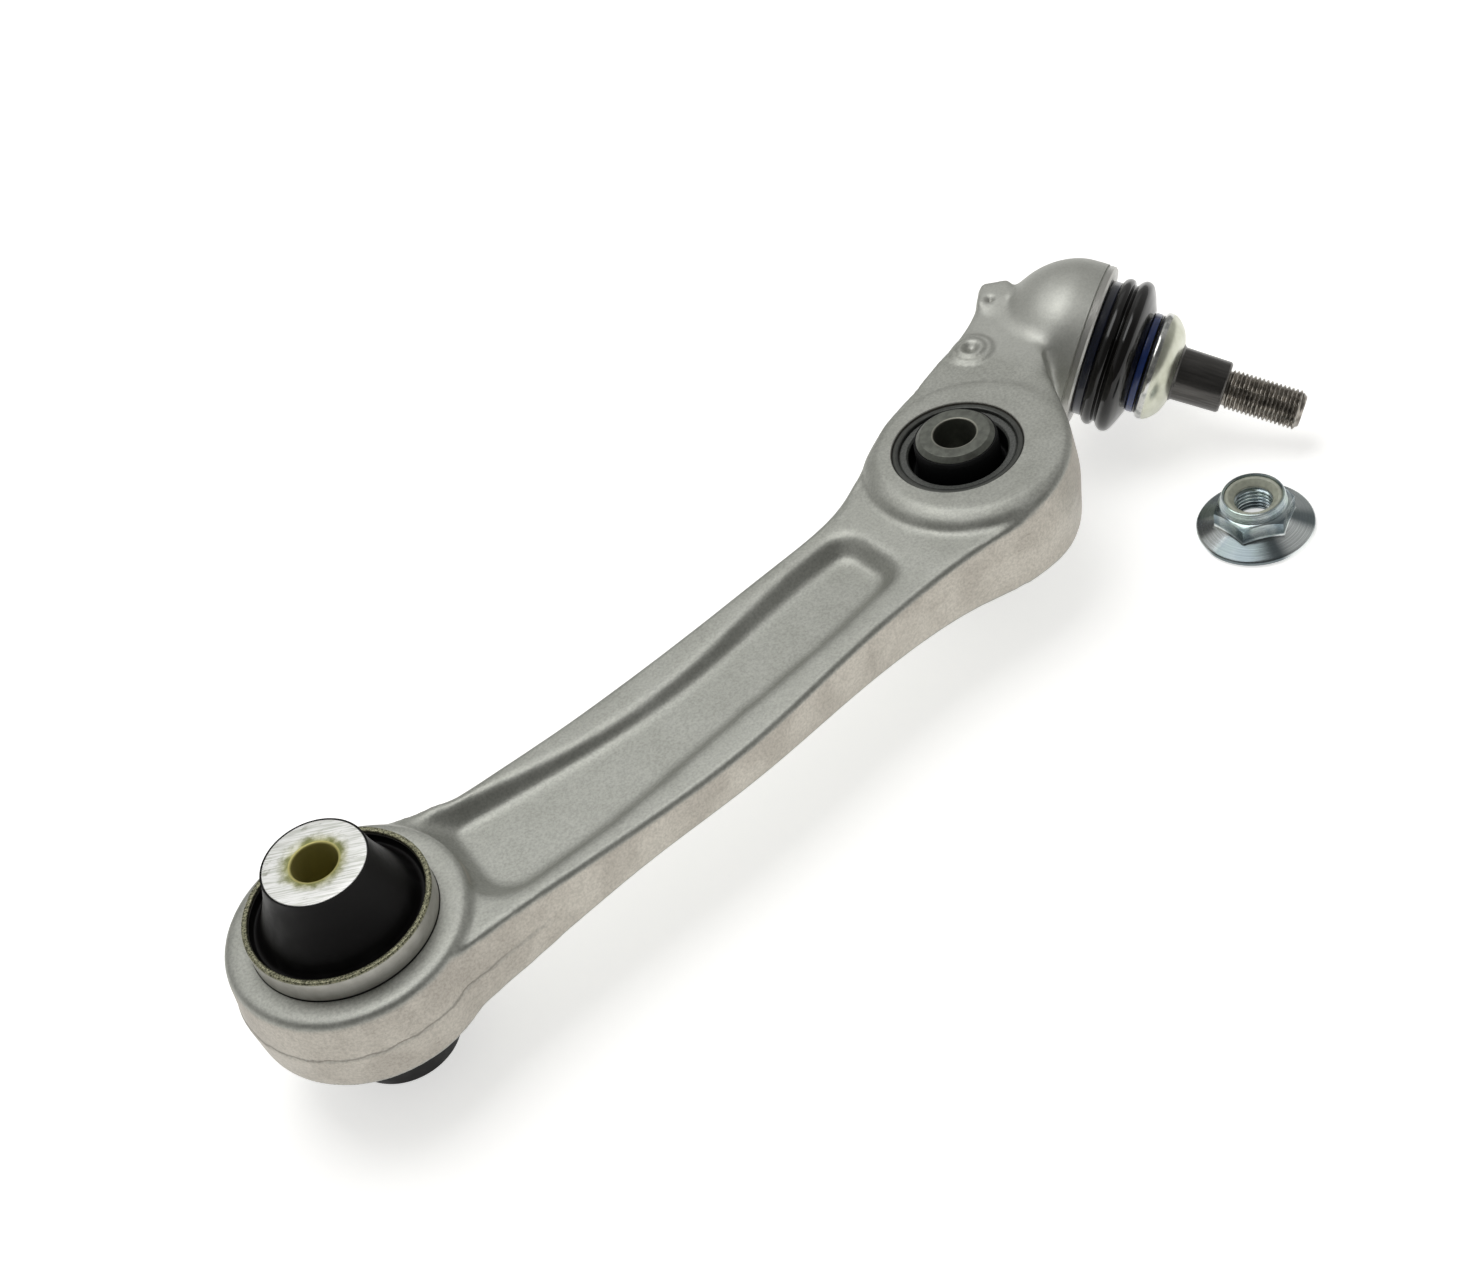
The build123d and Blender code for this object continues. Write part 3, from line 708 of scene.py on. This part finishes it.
def sculpt_details(points, normals, round_pad, corner_dimple):
    """The pads' steps and dimples, and the parting ledge."""
    upper = points[:, 2] > 8
    points[:, 2] += upper * 0.9 * smooth_step((8.8 - round_pad) / 2.2)
    points[:, 2] += upper * 0.8 * smooth_step((6.2 - round_pad) / 1.8)
    points[:, 2] -= upper * 1.3 * smooth_step((3.2 - round_pad) / 2.6)
    points[:, 2] -= upper * 0.7 * np.exp(-((corner_dimple / 1.2) ** 2))
    # the dies' mismatch along the parting plane
    flank = smooth_step((0.6 - np.abs(normals[:, 2])) / 0.3)
    ledge = 0.4 * smooth_step((0.45 - points[:, 2]) / 0.9) * flank
    ledge *= smooth_step((60 - points[:, 0]) / 20)
    points[:, :2] += normals[:, :2] * ledge[:, None]


def cut_bores(arm, bore_a, bore_b):
    """The two bush bores, chamfered at both ends."""
    eyes = (
        (CHASSIS, bore_a, CHASSIS_EYE_HALF, CHASSIS_EYE_HALF),
        (STRUT, bore_b, STRUT_EYE_DEPTH, STRUT_EYE_TOP),
    )
    for place, bore, floor, top in eyes:
        wall = bore + BORE_GAP
        mouth = wall + BORE_CHAMFER
        tool = [(0, -OUTSIDE), (mouth, -OUTSIDE), (mouth, -floor), (wall, -floor + BORE_CHAMFER)]
        tool += [(wall, top - BORE_CHAMFER), (mouth, top), (mouth, OUTSIDE), (0, OUTSIDE)]
        cut_away(arm, turned("bore", tool, place, 256))


def turn_housing(arm):
    """The housing's mouth and face, and the groove behind its rim."""
    lip, rim, face = HOUSING_LIP_R, HOUSING_RIM_R, HOUSING_FACE
    tool = [(0, 9.5), (SPIGOT_BORE_R, 9.5), (SPIGOT_BORE_R, 17.6), (lip, 17.6), (lip, face)]
    tool += [(rim - 1.0, face), (rim + 0.5, face - 1.5), (rim + 0.5, 40), (0, 40)]
    cut_away(arm, turned("turning", tool, BALL, 256))
    groove = [(28.2, 10.9), (33.0, 10.7), (33.0, 15.0), (28.75, 15.0), (28.75, 11.6), (28.2, 11.5)]
    cut_away(arm, turned("turning", groove, BALL, 256))


def build_forging():
    bore_a = reach("chassis_bush_outer_sleeve", CHASSIS)[1]
    bore_b = reach("strut_bush_outer_sleeve", STRUT)[1]
    arm = plugged_forging(bore_a, bore_b)
    mesh = arm.data
    points = mesh_points(mesh)
    pairs = np.zeros(len(mesh.edges) * 2, np.int64)
    mesh.edges.foreach_get("vertices", pairs)
    round_pad = distance(points, ROUND_PAD)
    corner_dimple = distance(points, CORNER_DIMPLE)
    corner = distance(points, NECK_CORNER)
    points = smoothed(points, pairs.reshape(-1, 2), round_pad, corner)
    raise_neck(points, round_pad)
    mesh.vertices.foreach_set("co", (points * MM).ravel())
    mesh.update()
    normals = np.zeros(len(points) * 3)
    mesh.vertices.foreach_get("normal", normals)
    sculpt_details(points, normals.reshape(-1, 3), round_pad, corner_dimple)
    mesh.vertices.foreach_set("co", (points * MM).ravel())
    mesh.update()
    cut_bores(arm, bore_a, bore_b)
    turn_housing(arm)
    tidy_mesh(arm.data, math.radians(40))
    settle(arm, forged_aluminium(), "arm", "arm_forging")


# ---- bushes -----------------------------------------------------------------------------
RAGGED_EDGE = 0.035


def build_chassis_bush():
    """Can with a slightly ragged cut rim, milled sleeve, and the rubber cone between them."""
    low, high, _, top = reach("chassis_bush_outer_sleeve", CHASSIS)
    rng = np.random.default_rng(3)
    waves = [(n, rng.uniform(-1, 1), rng.uniform(0, FULL_TURN)) for n in (3, 7, 13, 23, 41, 67)]

    def ragged(angles, radius, height):
        ripple = sum(a * np.sin(n * angles + p) for n, a, p in waves) * RAGGED_EDGE
        rim = smooth_step((abs(height[0]) - top + 0.9) / 0.6)
        return radius, height + np.sign(height) * ripple * rim

    section = [(low, -top), (high, -top), (high, top), (low, top)]
    can = turned("chassis_can", rounded(section, 0.7), CHASSIS, 288, ragged)
    settle(can, can_steel(), "arm", "chassis_bush_outer_sleeve")

    low, high, _, top = reach("chassis_bush_inner_sleeve", CHASSIS)
    section = [(low, -top, 0.7), (high, -top, 0.25), (high, top, 0.25), (low, top, 0.7)]
    sleeve = turned("chassis_inner_sleeve", rounded(section, 0.3), CHASSIS)
    settle(sleeve, milled_sleeve(), "chassis_sleeve", "chassis_bush_inner_sleeve")

    inner, outer, _, skin_end = reach("chassis_bush_rubber", CHASSIS)
    cone_foot, wall_top, cone_top = (24.0, 21.6), (outer, 22.4), top - 0.1
    upper = curve_through([(16.4, cone_top), (17.0, 39.5), (18.6, 34.0), (21.4, 27.0), cone_foot])
    groove = curve_through([cone_foot, (25.0, 20.4), (26.2, 20.2), (outer - 0.3, 21.2), wall_top])
    lower = [(outer, -22.4), (26.2, -20.4), (24.2, -21.6), (22.0, -28.0), (19.9, -36)]
    lower = curve_through(lower + [(18.4, -skin_end)])
    section = upper + groove[1:] + lower + [(inner, -skin_end), (inner, cone_top)]
    cone = turned("chassis_rubber", section, CHASSIS)
    rubber = satin_rubber("bush_rubber", (0.004, 0.0035, 0.0035), 0.46, dust=0.004, shine=0.13)
    settle(cone, rubber, "arm", "chassis_bush_rubber")


def build_strut_bush():
    """Can, sleeve with turned-down ends, and rubber with a ring-shaped recess at each end."""
    low, high, _, top = reach("strut_bush_outer_sleeve", STRUT)
    section = [(low, -top), (high, -top), (high, top), (low, top)]
    can = turned("strut_can", rounded(section, 0.8), STRUT)
    tone, edge = (0.05, 0.052, 0.048), (0.075, 0.077, 0.07)
    finish = coated_steel("coated_can", tone, edge, STRUT, high - 1.0)
    settle(can, finish, "arm", "strut_bush_outer_sleeve")

    low, high, _, top = reach("strut_bush_inner_sleeve", STRUT)
    bevel = 1.5
    section = [(low, -top, 0.6), (high - bevel, -top, 0.3), (high, -top + bevel, 0.5)]
    section += [(high, top - bevel, 0.5), (high - bevel, top, 0.3), (low, top, 0.6)]
    sleeve = turned("strut_inner_sleeve", rounded(section, 0.3), STRUT)
    tone, edge = (0.11, 0.115, 0.10), (0.26, 0.26, 0.22)
    finish = coated_steel("phosphated_sleeve", tone, edge, STRUT, low + 0.35)
    settle(sleeve, finish, "strut_sleeve", "strut_bush_inner_sleeve")

    inner, outer, _, skin_end = reach("strut_bush_rubber", STRUT)
    lip, recess = 14.4, 6.5
    half = [(inner, skin_end), (inner + 0.5, skin_end), (inner + 0.8, skin_end - 1.5, 1.0)]
    half += [(inner + 0.9, recess, 1.2), (outer - 3.3, recess, 1.2), (outer - 3.0, lip - 0.9, 0.3)]
    half += [(outer - 2.4, lip - 0.1, 0.3), (outer - 0.5, lip, 0.2), (outer, lip - 0.3)]
    section = half + [(c[0], -c[1], *c[2:]) for c in reversed(half)]
    ring = turned("strut_rubber", rounded(section, 0.1), STRUT)
    settle(ring, lipped_rubber(), "arm", "strut_bush_rubber")


# ---- ball joint -------------------------------------------------------------------------
PITCH = 1.5


def rings_of(radii, heights, angles):
    """Rows of points round an axis. A radius or a height may be one number or one per angle."""
    rows = []
    for r, h in zip(radii, heights):
        row = np.broadcast_arrays(r * np.cos(angles), r * np.sin(angles), np.asarray(h, float))
        rows.append(np.stack(row, 1))
    return rows


def ridge_at(height, angles, width):
    """A thread's ridge, 0 to 1, at a height and angles round the axis."""
    phase = (height / PITCH - angles / FULL_TURN) % 1
    return smooth_step((0.5 - np.abs(phase - 0.5)) / width)


def build_stud():
    """Ball, neck, collar, tapered shank and a helical thread, in one skin."""
    ball_r = 14.0
    neck_r = 7.5
    arc = [
        (ball_r * math.sin(a), -ball_r * math.cos(a))
        for a in np.linspace(0, math.pi - math.asin(neck_r / ball_r), 40)
    ]
    shank = [(neck_r, 22.0, 1.5), (10.2, 27.0, 1.0), (10.2, 44.6, 0.3), (9.45, 45.4, 0.3)]
    shank += [(9.12, 61.7, 0.2), (8.5, 62.4, 0.2), (6.1, 62.5, 0.2), (6.1, 62.9, 0.2)]
    smooth = arc + rounded([arc[-1]] + shank, 0.3, closed=False)[1:]
    end, thread_r, depth = 90.0, 7.0, 0.92
    rows_per_turn = 14
    angles = np.arange(96) / 96 * FULL_TURN
    grid = rings_of(*zip(*smooth), angles)
    for h in np.arange(THREAD_START, end - 1.3, PITCH / rows_per_turn):
        fade = smooth_step((h - THREAD_START) / 0.9)
        r = thread_r - depth * (1 - ridge_at(h, angles, 0.40) * fade)
        grid += rings_of([r], [h], angles)
    grid += rings_of((5.9, 5.5, 5.1, 2.0, 0), (end - 0.9, end - 0.2, end, end, end), angles)
    stud = skin("ball_stud_threaded", grid, BALL, closed=False)
    settle(stud, stud_steel(), "stud", "ball_stud")


def build_boot():
    """The bellows, with two folds between its two round ends."""
    base, shank_r, end = 21.05, 10.25, 34.8
    outside = [(base, 14.3), (22.6, 14.3), (22.6, 17.5), (24.6, 17.6)]
    folds = [(24.6, 17.6), (25.8, 18.4), (26.5, 19.9), (26.1, 21.3), (24.9, 22.0), (24.8, 22.7)]
    folds += [(26.1, 23.6), (27.2, 25.4), (26.5, 27.7), (23.6, 29.4), (20.6, 30.6), (18.7, 31.4)]
    outside += curve_through(folds, 6)[1:]
    outside += [(16.5, 31.6), (16.5, 34.25), (17.6, 34.35), (17.8, end), (shank_r, end)]
    inside = [(shank_r, 31.5), (16.4, 29.9)]
    folds = [(16.4, 29.9), (22.4, 28.0), (25.2, 25.7), (22.9, 22.6), (24.4, 20.2), (23.2, 18.8)]
    inside += curve_through(folds + [(base, 17.8)], 6)[1:]
    boot = turned("dust_boot_bellows", outside + inside, BALL, 192)
    paint(boot, satin_rubber("boot_rubber", (0.004, 0.0035, 0.003), 0.13, 1.6, 0.002, 0.45))
    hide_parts("dust_boot")
    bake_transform(boot)


def build_clamp_rings():
    rings = (
        ("boot_ring_at_housing", "boot_clamp_ring_large", "arm", "navy_ring", (0.003, 0.007, 0.028)),
        ("boot_ring_at_stud", "boot_clamp_ring_small", "boot_ring", "blue_ring", (0.004, 0.028, 0.16)),
    )
    for name, node, body, finish, tone in rings:
        low, high, bottom, top = reach(node, BALL)
        section = [(low, bottom), (high, bottom), (high, top), (low, top)]
        ring = turned(name, rounded(section, 0.6), BALL)
        settle(ring, plastic(finish, tone, 0.25), body, node)


def build_cup():
    """Pressed cup: one curved line, thickened inwards."""
    wall, hole_r = 1.1, 10.3
    line = [(17.6, 34.9), (18.9, 35.6), (19.2, 37.3), (18.0, 40.0), (15.2, 42.6), (12.6, 43.8)]
    outer = np.array(curve_through(line + [(hole_r, 44.5)], 6))
    step = np.gradient(outer, axis=0)
    step /= np.linalg.norm(step, axis=1)[:, None]
    inner = outer + np.stack([-step[:, 1], step[:, 0]], 1) * wall
    inner[:, 0] = np.maximum(inner[:, 0], hole_r)
    section = [tuple(v) for v in (*outer, *inner[::-1])]
    cup = turned("guard_cup", section, BALL)
    settle(cup, cup_zinc(), "stud", "stud_guard_cup")


# ---- nut --------------------------------------------------------------------------------
HEX_FLATS = 24.0
HEX_TURN = math.radians(25)
HEX_TOP = 11.0
COLLAR_R = 11.3
CREST_R = 6.2
ROOT_R = 7.1


def build_nut():
    """Flange, hexagon, ringed collar and thread in one skin, and the nylon ring in the collar."""
    high, bottom = reach("flange_nut", NUT)[1:3]
    angles = np.arange(240) / 240 * FULL_TURN
    from_flat = angles % (math.pi / 3) - math.pi / 6
    angles = angles + HEX_TURN
    hexagon = HEX_FLATS / 2 / np.cos(from_flat)
    edge = HEX_FLATS / 2 - 0.5
    chamfer_top = HEX_TOP - (hexagon - edge) * 0.7

    def flange(r):
        return 1.5 + (high - r) / (high - HEX_FLATS / 2 - 0.6) * 2.9

    outline = [(8.2, 0), (high - 0.5, 0), (high - 0.1, 0.15), (high, 0.5)]
    outline += [(high, 1.2), (high - 0.15, 1.5), (high - 0.6, 1.75)]
    for t in np.linspace(0.1, 1, 8):
        r = (high - 0.6) * (1 - t) + (hexagon + 0.5) * t
        outline.append((r, flange(r)))
    foot = flange(hexagon) + 0.35
    outline += [(hexagon + 0.15, flange(hexagon) + 0.1), (hexagon, foot)]
    for t in np.linspace(0.2, 1, 5):
        outline.append((hexagon, foot + (chamfer_top - foot) * t))
    outline.append(((edge + hexagon) / 2, (chamfer_top + HEX_TOP) / 2))
    outline += [(edge, HEX_TOP), (COLLAR_R + 0.1, HEX_TOP)]
    for h in np.arange(0.3, 2.9, 0.15):
        ridge = 0.07 * math.cos(h / 0.62 * FULL_TURN)
        outline.append((COLLAR_R - 0.14 * h + ridge, HEX_TOP + h))
    outline += [(COLLAR_R - 0.8, 14.5), (COLLAR_R - 1.2, 14.6), (COLLAR_R - 1.5, 14.3)]
    outline += [(9.8, 13.2), (9.8, 11.2), (7.2, 11.2)]
    for h in np.arange(10.8, 2.1, -PITCH / 12):
        outline.append((ROOT_R - (ROOT_R - CREST_R) * ridge_at(h, angles, 0.4), h))
    outline.append((6.9, 1.5))
    grid = rings_of([r for r, h in outline], [h + bottom for r, h in outline], angles)
    nut = skin("flange_nut_threaded", grid, NUT)
    settle(nut, turned_zinc(), "nut", "flange_nut")

    low, high, bottom, top = reach("nut_locking_insert", NUT)
    section = [(low, bottom), (high, bottom), (high, top - 0.4), (high - 0.5, top, 0.4)]
    section += [(low + 1.9, top - 0.1, 0.6), (low, top - 1.9, 0.5)]
    insert = turned("nut_nylon_insert", rounded(section, 0.15), NUT)
    nylon = plastic("nut_nylon", (0.50, 0.52, 0.42), 0.4)
    settle(insert, nylon, "nut", "nut_locking_insert")


# ---- build ------------------------------------------------------------------------------
build_forging()
build_chassis_bush()
build_strut_bush()
build_stud()
build_boot()
build_clamp_rings()
build_cup()
build_nut()
paint(frame["nodes"]["ball_seat"], plastic("seat_polymer", (0.6, 0.58, 0.5), 0.4))
paint(frame["nodes"]["ball_retaining_ring"], ring_steel())


# ---- stage, light and camera ------------------------------------------------------------
MIDDLE = (cad_low + cad_high) / 2
FLOOR_HALF = 3.0
FLOOR_GAP = 0.0005
CAMERA_AT = (-114.85, -488.08, 545.22)
CAMERA_LOOK = (0.3436, 0.6323, -0.6944)
CAMERA_RIGHT = (0.7420, -0.6360, -0.2119)
CAMERA_LENS = 60.1


def build_floor():
    """Pale floor just under the part, glowing a little so that it stays near white."""
    corners = [(-1, -1), (1, -1), (1, 1), (-1, 1)]
    mesh = bpy.data.meshes.new("floor")
    z = cad_low.z - FLOOR_GAP
    corners = [(MIDDLE.x + FLOOR_HALF * x, MIDDLE.y + FLOOR_HALF * y, z) for x, y in corners]
    mesh.from_pydata(corners, [], [(0, 1, 2, 3)])
    floor = bpy.data.objects.new("floor", mesh)
    bpy.context.scene.collection.objects.link(floor)
    f = Finish("pale_floor")
    f.feed(f.shader.inputs["Emission Color"], (1.0, 0.997, 0.99))
    f.feed(f.shader.inputs["Emission Strength"], 0.60)
    paint(floor, f.done(base_color=(0.9, 0.895, 0.88), roughness=0.9, specular_ior_level=0.1))


def softbox(name, at, size, power):
    """A square light at an offset from the part's middle, turned towards it."""
    light = bpy.data.lights.new(name, "AREA")
    light.shape = "RECTANGLE"
    light.size = light.size_y = size
    light.energy = power
    obj = bpy.data.objects.new(name, light)
    obj.location = MIDDLE + Vector(at)
    obj.rotation_euler = (-Vector(at)).to_track_quat("-Z", "Y").to_euler()
    bpy.context.scene.collection.objects.link(obj)


def build_light():
    """Two softboxes, and a studio that grows darker towards the camera's side."""
    softbox("overhead", (-0.02, 0.33, 1.2), 0.86, 6.6)
    softbox("back_right", (0.78, 0.72, 0.85), 0.7, 0.4)
    world = bpy.data.worlds.new("studio")
    bpy.context.scene.world = world
    world.use_nodes = True
    tree = world.node_tree
    back = tree.nodes["Background"]
    coordinates = tree.nodes.new("ShaderNodeTexCoord")
    toward = tree.nodes.new("ShaderNodeVectorMath")
    toward.operation = "DOT_PRODUCT"
    toward.inputs[1].default_value = Vector((-0.35, -0.85, 0.45)).normalized()
    tree.links.new(coordinates.outputs["Generated"], toward.inputs[0])
    ramp = tree.nodes.new("ShaderNodeMapRange")
    ramp.interpolation_type = "SMOOTHSTEP"
    for socket, value in (("From Min", 0.0), ("From Max", 0.9), ("To Min", 0.44), ("To Max", 0.14)):
        ramp.inputs[socket].default_value = value
    tree.links.new(toward.outputs["Value"], ramp.inputs["Value"])
    tree.links.new(ramp.outputs[0], back.inputs["Strength"])
    back.inputs["Color"].default_value = (1.0, 1.0, 0.98, 1)


def build_camera():
    camera = bpy.data.cameras.new("camera")
    camera.lens = CAMERA_LENS
    camera.clip_start = 0.01
    obj = bpy.data.objects.new("camera", camera)
    look = Vector(CAMERA_LOOK).normalized()
    right = Vector(CAMERA_RIGHT).normalized()
    turn = Matrix((right, right.cross(look), -look)).transposed().to_4x4()
    obj.matrix_world = Matrix.Translation(Vector(CAMERA_AT) * MM) @ turn
    bpy.context.scene.collection.objects.link(obj)
    bpy.context.scene.camera = obj


build_floor()
build_light()
build_camera()
bpy.context.scene.view_settings.view_transform = "Standard"
